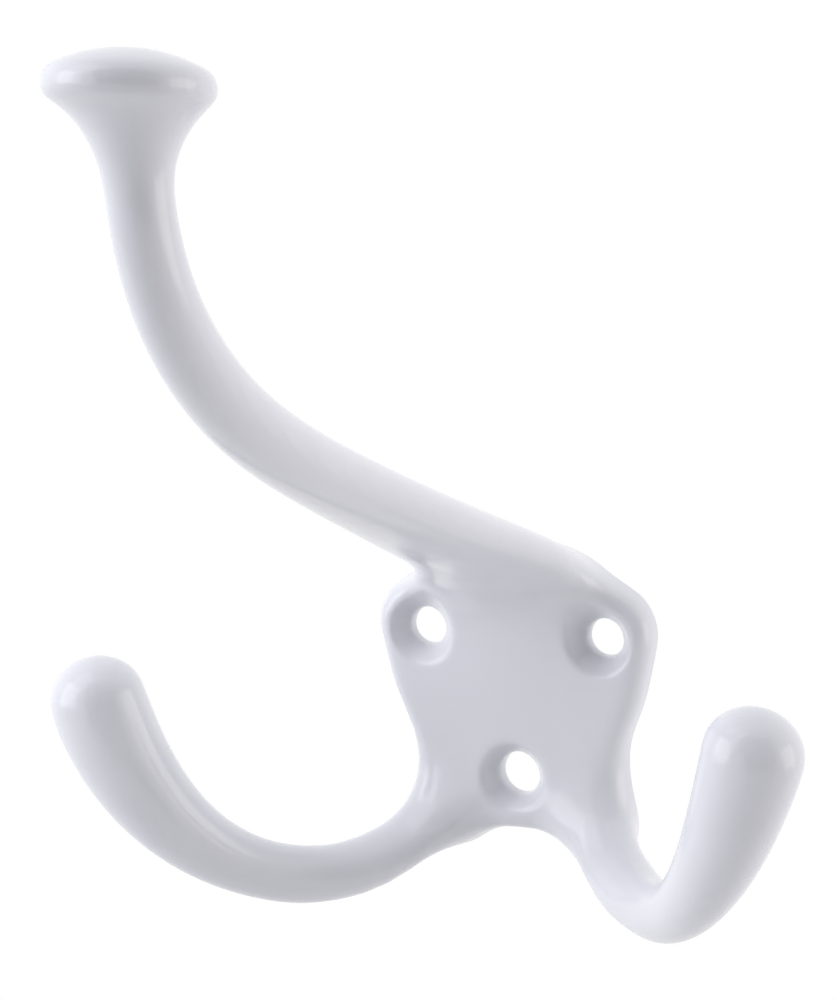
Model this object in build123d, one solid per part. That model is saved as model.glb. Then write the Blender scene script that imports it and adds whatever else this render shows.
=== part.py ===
from build123d import *
from math import atan2, cos, degrees, radians, sin, tan
import os

# A cast coat hook: a flat wall plate with two ears, a long upper arm that ends
# in a knob, and two shorter prongs below it, all one piece of metal.
# Millimetres. X to the right, Y into the wall, Z up. The back lies on Y = 0 and
# the origin is midway between the two upper screw holes.

# Holes for countersunk wood screws
hole_spacing = 22.0
lower_hole_drop = 16.4
upper_hole_dia = 4.4
lower_hole_dia = 5.0
countersink_dia = 8.0
countersink_angle = 80.0

# Wall plate
plate_thickness = 3.4
plate_edge_round = 2.0
ear_radius = 5.9
ear_rise = 0.5
ear_start_angle = 65.0
ear_end_angle = -14.0
crown_height = 10.0
flank_point = (15.0, -7.6)
waist_half_width = 12.9
waist_drop = 14.8
leg_point = (13.7, -21.2)
toe_point = (11.3, -25.9)
foot_point = (6.4, -25.2)
arch_drop = 22.8

# Upper arm: distances from the wall and heights of its centre line
arm_root_height = 6.9
arm_rise_angle = 22.5
arm_middle_reach = 45.0
arm_middle_height = 25.6
arm_elbow_reach = 69.9
arm_elbow_height = 40.8
arm_tip_reach = 78.5
arm_tip_height = 66.2
arm_tip_angle = 100.0
arm_root_width = 23.0
arm_root_depth = 9.0
arm_root_sag = 1.3
arm_root_round = 3.5
arm_depth = 6.8
arm_flare_share = 0.14
neck_dia = 6.5
neck_place = 0.91

# Knob on top of the neck
knob_dia = 16.5
knob_tilt = 11.2
knob_rim_radius = 2.0
knob_dome = 3.5
knob_shift = 1.6
knob_underside_angle = 41.0

# Lower prongs: points of the right prong's centre line, which starts in the plate
prong_root = (7.8, -1.6, -11.0)
prong_bend = (11.6, -4.4, -23.2)
prong_low_point = (18.0, -10.2, -27.0)
prong_rise_point = (30.7, -23.0, -20.9)
prong_elbow = (35.6, -26.7, -13.3)
prong_tip = (39.1, -28.1, -4.4)
prong_root_width = 10.4
prong_root_depth = 2.6
prong_waist_width = 6.3
prong_waist_depth = 6.8
prong_tip_width = 9.8
prong_tip_depth = 11.0
prong_waist_place = 0.5

# How quickly the knob's underside narrows and comes over the neck
flare_power = 3.0
shift_power = 8.0

# Sections drawn along each limb
arm_sections = 14
flare_sections = 12
prong_sections = 13
end_sections = 9

# Room for cutting tools beyond the metal
clear_of_part = 200.0


def plate_half_outline():
    """Right half of the plate's edge, from the crown down to the arch."""
    crown = (0, crown_height)
    waist = (waist_half_width, -waist_drop)
    arch = (0, -arch_drop)
    ear_middle = (hole_spacing / 2, ear_rise)
    ear = CenterArc(ear_middle, ear_radius, ear_start_angle, ear_end_angle - ear_start_angle)
    top = Spline(crown, ear @ 0, tangents=((1, 0), tuple(ear % 0)[:2]))
    flank = Spline(ear @ 1, flank_point, waist, tangents=(tuple(ear % 1)[:2], (0, -1)))
    leg = Spline(waist, leg_point, toe_point, foot_point, arch, tangents=((0, -1), (-1, 0)))
    return [top, ear, flank, leg]


def wall_plate():
    right = Wire(plate_half_outline())
    left = mirror(right, about=Plane.YZ)
    outline = make_face([*right.edges(), *left.edges()])
    upright = Plane(origin=(0, 0, 0), x_dir=(1, 0, 0), z_dir=(0, -1, 0))
    plate = extrude(upright * outline, plate_thickness)
    front = plate.faces().sort_by(Axis.Y)[0]
    return fillet(front.edges(), plate_edge_round)


def tapered(place, start, end, power=2.0):
    """A size that runs from start to end, ever slower as place goes to 1."""
    return end + (start - end) * (1 - min(place, 1)) ** power


def eased(share, start, end):
    """A size that leaves start and reaches end without a corner."""
    return start + (end - start) * share**2 * (3 - 2 * share)


def waisted(place, start, waist, end):
    """A size that changes smoothly from the root to the waist and on to the tip."""
    if place < prong_waist_place:
        return eased(place / prong_waist_place, start, waist)
    return eased((place - prong_waist_place) / (1 - prong_waist_place), waist, end)


def section_plane(path, place, across):
    """Plane square to a path, with across as its X direction."""
    return Plane(origin=path @ place, x_dir=across, z_dir=path % place)


def oval(plane, width, depth, drop=0.0):
    """Ellipse on a plane, with its middle moved down by drop."""
    return plane * Pos(0, -drop, 0) * Ellipse(width / 2, depth / 2)


def arm_path():
    """Centre line of the arm, in the hook's middle plane."""
    root = (0, 0, arm_root_height)
    middle = (0, -arm_middle_reach, arm_middle_height)
    elbow = (0, -arm_elbow_reach, arm_elbow_height)
    tip = (0, -arm_tip_reach, arm_tip_height)
    rise = radians(arm_rise_angle)
    finish = radians(arm_tip_angle)
    ends = ((0, -cos(rise), sin(rise)), (0, -cos(finish), sin(finish)))
    return Spline(root, middle, elbow, tip, tangents=ends)


def upper_arm():
    path = arm_path()
    faces = []
    for index in range(arm_sections + 1):
        share = index / arm_sections
        place = share * neck_place
        near_root = place / arm_flare_share
        plane = section_plane(path, place, (1, 0, 0))
        width = tapered(share, arm_root_width, neck_dia)
        depth = tapered(near_root, arm_root_depth, arm_depth)
        depth = min(depth, neck_dia + (arm_root_depth - neck_dia) * (1 - share))
        sag = tapered(near_root, arm_root_sag, 0)
        faces.append(oval(plane, width, depth, sag))
    return loft(faces)


def plate_and_arm():
    """The arm on its plate, with a rounded inside corner under it."""
    body = wall_plate() + upper_arm() - behind_the_wall()
    seam = body.edges().sort_by_distance((0, -plate_thickness, 0))[0]
    return fillet(seam, arm_root_round)


def knob_plane(height=0.0):
    """Plane across the knob, at a height above its widest circle."""
    lean = radians(knob_tilt)
    axis = Vector(0, sin(lean), cos(lean))
    middle = arm_path() @ 1 + Vector(0, -knob_shift, 0) + axis * knob_rim_radius
    return Plane(origin=middle + axis * height, x_dir=(1, 0, 0), z_dir=axis)


def underside_start():
    """Radius and height of the circle where the rim ends and the underside begins."""
    reach = knob_dia / 2 - knob_rim_radius
    lean = radians(knob_underside_angle)
    return reach + knob_rim_radius * sin(lean), -knob_rim_radius * cos(lean)


def knob_cap():
    """Round rim with a low dome that runs off it smoothly."""
    reach = knob_dia / 2 - knob_rim_radius
    start_radius, start_height = underside_start()
    dome_radius = (reach**2 + knob_dome**2 - knob_rim_radius**2) / (2 * (knob_dome - knob_rim_radius))
    meet = degrees(atan2(dome_radius - knob_dome, reach))
    begin = knob_underside_angle - 90
    rim = CenterArc((reach, 0), knob_rim_radius, begin, meet - begin)
    dome = CenterArc((0, knob_dome - dome_radius), dome_radius, meet, 90 - meet)
    base = Line((0, start_height), (start_radius, start_height))
    middle = Line(dome @ 1, (0, start_height))
    turned = revolve(Plane.XZ * make_face([base, rim, dome, middle]), Axis.Z)
    return knob_plane() * turned


def knob_flare():
    """The underside of the knob, drawn in to the neck."""
    path = arm_path()
    start_radius, start_height = underside_start()
    under = knob_plane(start_height)
    faces = []
    for index in range(flare_sections + 1):
        share = index / flare_sections
        on_path = section_plane(path, 1 - share * (1 - neck_place), (1, 0, 0))
        dia = tapered(share, 2 * start_radius, neck_dia, flare_power)
        toward = (1 - share) ** shift_power
        origin = on_path.origin * (1 - toward) + under.origin * toward
        axis = on_path.z_dir * (1 - toward) + under.z_dir * toward
        faces.append(oval(Plane(origin=origin, x_dir=(1, 0, 0), z_dir=axis), dia, dia))
    return loft(faces)


def prong_plane(path, place):
    """Plane square to the prong's path: its X direction turns from the plate's face to level."""
    along = path % place
    level = along.cross(Vector(0, 0, 1)).normalized()
    in_plate = along.cross(Vector(0, -1, 0)).normalized()
    turned = min(place / prong_waist_place, 1)
    return section_plane(path, place, in_plate * (1 - turned) + level * turned)


def round_end(plane, width, depth):
    """Half of an egg shape that stands on a plane."""
    reach = width / 2
    sections = []
    for index in range(end_sections):
        turn = radians(90 * index / end_sections)
        sections.append(oval(plane.offset(reach * sin(turn)), width * cos(turn), depth * cos(turn)))
    return loft([*sections, Vertex(*plane.offset(reach).origin)])


def right_prong():
    path = Spline(prong_root, prong_bend, prong_low_point, prong_rise_point, prong_elbow, prong_tip)
    faces = []
    for index in range(prong_sections + 1):
        place = index / prong_sections
        width = waisted(place, prong_root_width, prong_waist_width, prong_tip_width)
        depth = waisted(place, prong_root_depth, prong_waist_depth, prong_tip_depth)
        faces.append(oval(prong_plane(path, place), width, depth))
    return loft(faces) + round_end(prong_plane(path, 1), prong_tip_width, prong_tip_depth)


def screw_hole(dia, x, z):
    """Through hole with a countersink, and room above it for the screwdriver."""
    depth = (countersink_dia - dia) / 2 / tan(radians(countersink_angle / 2))
    stand = (Align.CENTER, Align.CENTER, Align.MIN)
    shank = Cylinder(dia / 2, plate_thickness, align=stand)
    seat = Pos(0, 0, plate_thickness - depth) * Cone(dia / 2, countersink_dia / 2, depth, align=stand)
    above = Pos(0, 0, plate_thickness) * Cylinder(countersink_dia / 2, plate_thickness, align=stand)
    place = Plane(origin=(x, 0, z), x_dir=(1, 0, 0), z_dir=(0, -1, 0))
    return place * (shank + seat + above)


def behind_the_wall():
    return Pos(0, clear_of_part / 2, 0) * Box(clear_of_part, clear_of_part, clear_of_part)


def coat_hook():
    prong = right_prong()
    knob = knob_flare().fuse(knob_cap(), glue=True)
    body = plate_and_arm() + knob
    body += [prong, mirror(prong, about=Plane.YZ)]
    body -= behind_the_wall()
    for x in (-hole_spacing / 2, hole_spacing / 2):
        body -= screw_hole(upper_hole_dia, x, 0)
    return body - screw_hole(lower_hole_dia, 0, -lower_hole_drop)


hook = coat_hook()
os.makedirs("parts", exist_ok=True)
export_step(hook, "parts/coat_hook.step")
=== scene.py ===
"""A white cast coat hook, as it is pictured: lit softly from all round on a white ground."""
from math import cos, pi, radians, sin, tan

import bmesh
import bpy
from mathutils import Matrix, Vector


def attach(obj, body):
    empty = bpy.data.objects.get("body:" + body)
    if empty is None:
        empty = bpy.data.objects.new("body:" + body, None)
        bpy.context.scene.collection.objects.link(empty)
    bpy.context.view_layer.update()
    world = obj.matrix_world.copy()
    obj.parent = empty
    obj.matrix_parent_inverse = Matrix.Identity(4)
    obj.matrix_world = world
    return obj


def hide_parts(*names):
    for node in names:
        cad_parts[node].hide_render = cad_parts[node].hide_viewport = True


MM = 0.001

# Camera: where it looks, from how far, its angles and how much it leans in degrees, its film and lens
AIM = Vector((-0.4, -23.8, 19.3)) * MM
DISTANCE = 401.9 * MM
AZIMUTH = 26.8
ELEVATION = 10.6
LEAN = 2.23
SENSOR = 36.0
LENS = 135.5
NEAR_LIMIT = 10.0 * MM

# White coating: fine orange peel, and the slower waves of the casting under it
COATING = (0.77, 0.77, 0.80, 1.0)
COATING_SHADE = (0.73, 0.73, 0.765, 1.0)
COATING_ROUGHNESS = 0.18
COATING_IOR = 1.5
PEEL_SIZE = 1.6 * MM
PEEL_HEIGHT = 0.012 * MM
PEEL_DETAIL = 2.0
PEEL_ROUGHNESS = 0.08
WAVE_SIZE = 9.0 * MM
WAVE_HEIGHT = 0.03 * MM
WAVE_DETAIL = 1.0
NOISE_MIDDLE = 0.5

# Wall plate and its screw holes: place across and up, and diameter
PLATE_THICKNESS = 3.4 * MM
COUNTERSINK_DIA = 8.0 * MM
COUNTERSINK_ANGLE = radians(80)
HOLES = [
    (Vector((-11.0, 0.0)) * MM, 4.4 * MM),
    (Vector((11.0, 0.0)) * MM, 4.4 * MM),
    (Vector((0.0, -16.4)) * MM, 5.0 * MM),
]
HOLE_SEGMENTS = 64

# Skin of the casting: how far it reaches behind the wall while it is shaped, and its rounding
WELD = 0.001 * MM
BEHIND = 3.0 * MM
CUTTER_START = 6.0 * MM
CORNER_ROUND = 6.5 * MM
VOXEL = 0.4 * MM
SMOOTHING = 8
RIM_SMOOTHING = 3
SMOOTH_SHARE = 0.5

# Places where the limbs leave the plate, softened further: middle and reach
SOFT_STEPS = 4
SOFT_PASSES = 20
SIDE_SPOTS = [
    (Vector((10.0, -3.5, -22.0)) * MM, 9.0 * MM),
    (Vector((11.0, -2.0, -25.5)) * MM, 10.0 * MM),
    (Vector((12.5, -2.5, -18.0)) * MM, 7.0 * MM),
    (Vector((10.5, -1.5, 7.0)) * MM, 7.0 * MM),
]
MIDDLE_SPOTS = [
    (Vector((0.0, -5.0, 2.0)) * MM, 9.0 * MM),
    (Vector((0.0, -1.0, 11.0)) * MM, 7.0 * MM),
]

# Room and floor, in metres
WHITE = (1.0, 1.0, 1.0, 1.0)
ROOM_LIGHT = (0.90, 0.90, 0.95, 1.0)
ROOM_STRENGTH = 1.07
FLOOR_COLOUR = (0.7, 0.7, 0.7, 1.0)
FLOOR_DROP = 0.45
FLOOR_SIZE = 6.0

# Lamps: name, degrees round to the right of the camera, degrees up, watts and colour
COOL_LIGHT = (0.93, 0.96, 1.0)
WARM_LIGHT = (1.0, 0.98, 0.95)
LAMP_DISTANCE = 0.7
LAMP_SIZE = 0.5
LAMPS = [
    ("lamp_left", -80, 10, 2.0, COOL_LIGHT),
    ("lamp_left_high", -70, 45, 0.85, COOL_LIGHT),
    ("lamp_right", 72, 0, 1.4, WARM_LIGHT),
]

# Dark card behind the camera
CARD_DISTANCE = 0.6
CARD_SIZE = 0.95
CARD_RISE = 18.0
CARD_COLOUR = (0.08, 0.08, 0.08, 1.0)

# Numbers of a colour Mix node's sockets, whose names it uses more than once
MIX_SHARE = 0
MIX_FIRST = 6
MIX_SECOND = 7
MIX_RESULT = 2


# Shader nodes

class Socket:
    """A node's output that Python's arithmetic works on."""

    def __init__(self, nodes, link):
        self.nodes = nodes
        self.link = link

    def math(self, operation, other, swap=False):
        values = [other, self] if swap else [self, other]
        return self.nodes.node("ShaderNodeMath", {"operation": operation}, dict(enumerate(values)))

    def __add__(self, other):
        return self.math("ADD", other)

    __radd__ = __add__

    def __sub__(self, other):
        return self.math("SUBTRACT", other)

    def __rsub__(self, other):
        return self.math("SUBTRACT", other, swap=True)

    def __mul__(self, other):
        return self.math("MULTIPLY", other)

    __rmul__ = __mul__


class Nodes:
    """Adds nodes to one node tree."""

    def __init__(self, tree):
        self.tree = tree
        tree.nodes.clear()

    def node(self, kind, settings=None, inputs=None, output=0):
        """Adds a node, sets it up and returns one of its outputs."""
        node = self.tree.nodes.new(kind)
        for name, value in (settings or {}).items():
            setattr(node, name, value)
        for name, value in (inputs or {}).items():
            if isinstance(value, Socket):
                self.tree.links.new(value.link, node.inputs[name])
            else:
                node.inputs[name].default_value = value
        if not node.outputs:
            return node
        return Socket(self, node.outputs[output])

    def noise(self, place, size, detail):
        """Noise from 0 to 1 whose lumps are about one size across."""
        return self.node("ShaderNodeTexNoise", {}, {"Vector": place, "Scale": 1 / size, "Detail": detail})

    def mix(self, share, first, second):
        """A colour between two others."""
        inputs = {MIX_SHARE: share, MIX_FIRST: first, MIX_SECOND: second}
        return self.node("ShaderNodeMix", {"data_type": "RGBA"}, inputs, output=MIX_RESULT)

    def shows_ground(self):
        """1 for rays that show the white ground: straight from the camera, mirrored or through glass."""
        straight = self.node("ShaderNodeLightPath", output="Is Camera Ray")
        mirrored = self.node("ShaderNodeLightPath", output="Is Glossy Ray")
        through = self.node("ShaderNodeLightPath", output="Is Transmission Ray")
        return straight.math("MAXIMUM", mirrored).math("MAXIMUM", through)

    def ground(self, other, white):
        """White where the ground is shown, and the other shader for the light that it gives."""
        return self.node("ShaderNodeMixShader", {}, {0: self.shows_ground(), 1: other, 2: white})


# Finishes

def new_finish(name):
    """An empty material and the nodes that it will have."""
    material = bpy.data.materials.new(name)
    material.use_nodes = True
    return material, Nodes(material.node_tree)


def white_coating():
    """Gloss powder coat: fine orange peel over the slow waves of a casting."""
    material, nodes = new_finish("white_coating")
    place = nodes.node("ShaderNodeTexCoord", output="Object")
    peel = nodes.noise(place, PEEL_SIZE, PEEL_DETAIL)
    waves = nodes.noise(place, WAVE_SIZE, WAVE_DETAIL)
    height = peel * PEEL_HEIGHT + waves * WAVE_HEIGHT
    bump = nodes.node("ShaderNodeBump", {}, {"Height": height, "Strength": 1.0, "Distance": 1.0})
    colour = nodes.mix(waves, COATING_SHADE, COATING)
    roughness = COATING_ROUGHNESS + (peel - NOISE_MIDDLE) * PEEL_ROUGHNESS
    shader = nodes.node("ShaderNodeBsdfPrincipled", {}, {
        "Base Color": colour,
        "Roughness": roughness,
        "IOR": COATING_IOR,
        "Normal": bump,
    })
    nodes.node("ShaderNodeOutputMaterial", {}, {"Surface": shader})
    return material


def dark_paint():
    """Plain matt paint of the card."""
    material, nodes = new_finish("dark_card")
    diffuse = nodes.node("ShaderNodeBsdfDiffuse", {}, {"Color": CARD_COLOUR})
    nodes.node("ShaderNodeOutputMaterial", {}, {"Surface": diffuse})
    return material


def floor_finish():
    """Pale matt floor that shows as white."""
    material, nodes = new_finish("floor")
    diffuse = nodes.node("ShaderNodeBsdfDiffuse", {}, {"Color": FLOOR_COLOUR})
    white = nodes.node("ShaderNodeEmission", {}, {"Color": WHITE, "Strength": 1.0})
    nodes.node("ShaderNodeOutputMaterial", {}, {"Surface": nodes.ground(diffuse, white)})
    return material


# Room, lamps and camera

def room():
    """Shows as white, and lights the hook softly and a little cool."""
    world = bpy.data.worlds.new("room")
    bpy.context.scene.world = world
    world.use_nodes = True
    nodes = Nodes(world.node_tree)
    white = nodes.node("ShaderNodeBackground", {}, {"Color": WHITE, "Strength": 1.0})
    light = nodes.node("ShaderNodeBackground", {}, {"Color": ROOM_LIGHT, "Strength": ROOM_STRENGTH})
    nodes.node("ShaderNodeOutputWorld", {}, {"Surface": nodes.ground(light, white)})


def stage_plane(name, size, place, material):
    """Flat square that belongs to the room, not to the object."""
    mesh = bpy.data.meshes.new(name)
    shape = bmesh.new()
    bmesh.ops.create_grid(shape, x_segments=1, y_segments=1, size=size / 2, matrix=place)
    shape.to_mesh(mesh)
    shape.free()
    mesh.materials.append(material)
    plane = bpy.data.objects.new(name, mesh)
    bpy.context.collection.objects.link(plane)
    return plane


def floor():
    stage_plane("floor", FLOOR_SIZE, Matrix.Translation((0, 0, -FLOOR_DROP)), floor_finish())


def toward(turn, rise):
    """Direction from the hook: degrees round to the right of the camera, and up."""
    turn, rise = radians(AZIMUTH + turn), radians(rise)
    return Vector((sin(turn) * cos(rise), -cos(turn) * cos(rise), sin(rise)))


def facing_hook(place):
    """A lamp's or card's place, turned so that its front points at the hook."""
    turned = (AIM - place).to_track_quat("-Z", "Y").to_matrix().to_4x4()
    return Matrix.Translation(place) @ turned


def soft_box(name, turn, rise, power, colour):
    """Square lamp that points at the hook."""
    lamp = bpy.data.lights.new(name, "AREA")
    lamp.energy = power
    lamp.size = LAMP_SIZE
    lamp.color = colour
    box = bpy.data.objects.new(name, lamp)
    box.matrix_world = facing_hook(AIM + toward(turn, rise) * LAMP_DISTANCE)
    bpy.context.collection.objects.link(box)


def dark_card():
    """Card behind the camera, which leaves the faces turned to it a little darker."""
    place = facing_hook(AIM + toward(0, CARD_RISE) * CARD_DISTANCE)
    card = stage_plane("dark_card", CARD_SIZE, place, dark_paint())
    card.visible_camera = False


def camera():
    back = toward(0, ELEVATION)
    right = Vector((cos(radians(AZIMUTH)), sin(radians(AZIMUTH)), 0))
    up = back.cross(right)
    lean = radians(LEAN)
    side = right * cos(lean) - up * sin(lean)
    top = right * sin(lean) + up * cos(lean)
    data = bpy.data.cameras.new("camera")
    data.sensor_fit = "VERTICAL"
    data.sensor_height = SENSOR
    data.lens = LENS
    data.clip_start = NEAR_LIMIT
    view = bpy.data.objects.new("camera", data)
    turned = Matrix((side, top, back)).transposed().to_4x4()
    view.matrix_world = Matrix.Translation(AIM + back * DISTANCE) @ turned
    bpy.context.collection.objects.link(view)
    bpy.context.scene.camera = view


# Cast hook

def piece_of(name, shape):
    """A shape as an object, its seams closed and its faces outward."""
    bmesh.ops.remove_doubles(shape, verts=shape.verts, dist=WELD)
    bmesh.ops.recalc_face_normals(shape, faces=shape.faces)
    mesh = bpy.data.meshes.new(name)
    shape.to_mesh(mesh)
    shape.free()
    return bpy.data.objects.new(name, mesh)


def finish_with(piece, kind, **settings):
    """Adds a modifier to a piece and sets it up."""
    modifier = piece.modifiers.new(kind.lower(), kind)
    for name, value in settings.items():
        setattr(modifier, name, value)


def bake(piece):
    """Gives the piece the mesh that its modifiers leave."""
    view = bpy.context.evaluated_depsgraph_get()
    piece.data = bpy.data.meshes.new_from_object(piece.evaluated_get(view))
    piece.modifiers.clear()


def turned_bar(shape, middle, profile):
    """Adds a solid bar turned about a hole's axis from its half section: distance out and height."""
    corners = [shape.verts.new((middle.x + out, -height, middle.y)) for out, height in profile]
    edges = [shape.edges.new(pair) for pair in zip(corners, corners[1:])]
    bmesh.ops.spin(shape, geom=corners + edges, cent=(middle.x, 0, middle.y), axis=(0, 1, 0), angle=2 * pi,
                   steps=HOLE_SEGMENTS, use_merge=True)


def extended_copy(node):
    """A copy of the node with its flat back moved behind the wall and its screw holes filled."""
    shape = bmesh.new()
    shape.from_mesh(node.data)
    bmesh.ops.remove_doubles(shape, verts=shape.verts, dist=WELD)
    for corner in shape.verts:
        if corner.co.y > -WELD:
            corner.co.y = BEHIND
    radius = COUNTERSINK_DIA / 2 + WELD
    plug = [(0, -BEHIND), (radius, -BEHIND), (radius, PLATE_THICKNESS), (0, PLATE_THICKNESS)]
    for middle, dia in HOLES:
        turned_bar(shape, middle, plug)
    piece = piece_of("cast_hook", shape)
    bpy.context.collection.objects.link(piece)
    return piece


def fill_inside_corners(piece):
    """Offsets the skin out and back in, which leaves a round in every inside corner."""
    for offset in (CORNER_ROUND, -CORNER_ROUND):
        finish_with(piece, "REMESH", mode="VOXEL", voxel_size=VOXEL)
        finish_with(piece, "DISPLACE", strength=offset, mid_level=0.0)
    finish_with(piece, "REMESH", mode="VOXEL", voxel_size=VOXEL)
    finish_with(piece, "SMOOTH", factor=SMOOTH_SHARE, iterations=SMOOTHING)
    bake(piece)


def soften(piece, middle, reach):
    """Blends the skin about a place, most in its middle."""
    shape = bmesh.new()
    shape.from_mesh(piece.data)
    for step in range(SOFT_STEPS):
        radius = reach * (1 - step / SOFT_STEPS)
        near = [corner for corner in shape.verts if (corner.co - middle).length < radius]
        for _ in range(SOFT_PASSES):
            bmesh.ops.smooth_vert(shape, verts=near, factor=SMOOTH_SHARE, use_axis_x=True, use_axis_y=True,
                                  use_axis_z=True)
    shape.to_mesh(piece.data)
    shape.free()


def soften_roots(piece):
    """Blends the skin where the arm and the prongs leave the plate."""
    for middle, reach in SIDE_SPOTS:
        soften(piece, Vector((-middle.x, middle.y, middle.z)), reach)
        soften(piece, middle, reach)
    for middle, reach in MIDDLE_SPOTS:
        soften(piece, middle, reach)


def cut_profile(dia):
    """Half section of a countersunk hole: distance from its axis and height from the wall."""
    lean = tan(COUNTERSINK_ANGLE / 2)
    seat = PLATE_THICKNESS - (COUNTERSINK_DIA - dia) / 2 / lean
    end = PLATE_THICKNESS + BEHIND
    start = -CUTTER_START
    return [(0, start), (dia / 2, start), (dia / 2, seat), (dia / 2 + (end - seat) * lean, end), (0, end)]


def hole_cutter():
    """Three countersunk screw holes, as bars that reach through the plate."""
    shape = bmesh.new()
    for middle, dia in HOLES:
        turned_bar(shape, middle, cut_profile(dia))
    return piece_of("hole_cutter", shape)


def cut_holes(piece):
    """Cuts the screw holes and rounds their rims a little, as a coat of paint does."""
    finish_with(piece, "BOOLEAN", object=hole_cutter(), operation="DIFFERENCE", solver="MANIFOLD")
    finish_with(piece, "REMESH", mode="VOXEL", voxel_size=VOXEL)
    finish_with(piece, "SMOOTH", factor=SMOOTH_SHARE, iterations=RIM_SMOOTHING)
    bake(piece)


def flatten_back(piece):
    """Cuts off what is behind the wall and closes the back with a sharp rim."""
    shape = bmesh.new()
    shape.from_mesh(piece.data)
    everything = [*shape.verts, *shape.edges, *shape.faces]
    cut = bmesh.ops.bisect_plane(shape, geom=everything, plane_co=(0, 0, 0), plane_no=(0, 1, 0),
                                 clear_outer=True)
    rim = [part for part in cut["geom_cut"] if isinstance(part, bmesh.types.BMEdge)]
    for face in shape.faces:
        face.smooth = True
    for edge in rim:
        edge.smooth = False
    back = bmesh.ops.triangle_fill(shape, edges=rim, use_beauty=True)
    for part in back["geom"]:
        part.smooth = False
    bmesh.ops.recalc_face_normals(shape, faces=shape.faces)
    shape.to_mesh(piece.data)
    shape.free()


def cast_hook(node):
    """The CAD hook with the soft inside corners of a casting."""
    piece = extended_copy(node)
    fill_inside_corners(piece)
    soften_roots(piece)
    cut_holes(piece)
    flatten_back(piece)
    piece.data.materials.clear()
    piece.data.materials.append(white_coating())
    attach(piece, "root")
    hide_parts("coat_hook")


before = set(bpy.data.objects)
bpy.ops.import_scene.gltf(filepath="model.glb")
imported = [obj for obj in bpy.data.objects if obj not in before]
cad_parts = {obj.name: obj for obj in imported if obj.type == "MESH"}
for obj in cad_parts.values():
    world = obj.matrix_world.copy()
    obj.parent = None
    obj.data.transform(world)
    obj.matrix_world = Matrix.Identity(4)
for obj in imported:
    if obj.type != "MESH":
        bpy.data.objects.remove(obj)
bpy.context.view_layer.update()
bpy.context.scene.view_settings.view_transform = "Standard"
camera()
room()
for lamp in LAMPS:
    soft_box(*lamp)
dark_card()
floor()
cast_hook(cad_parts["coat_hook"])
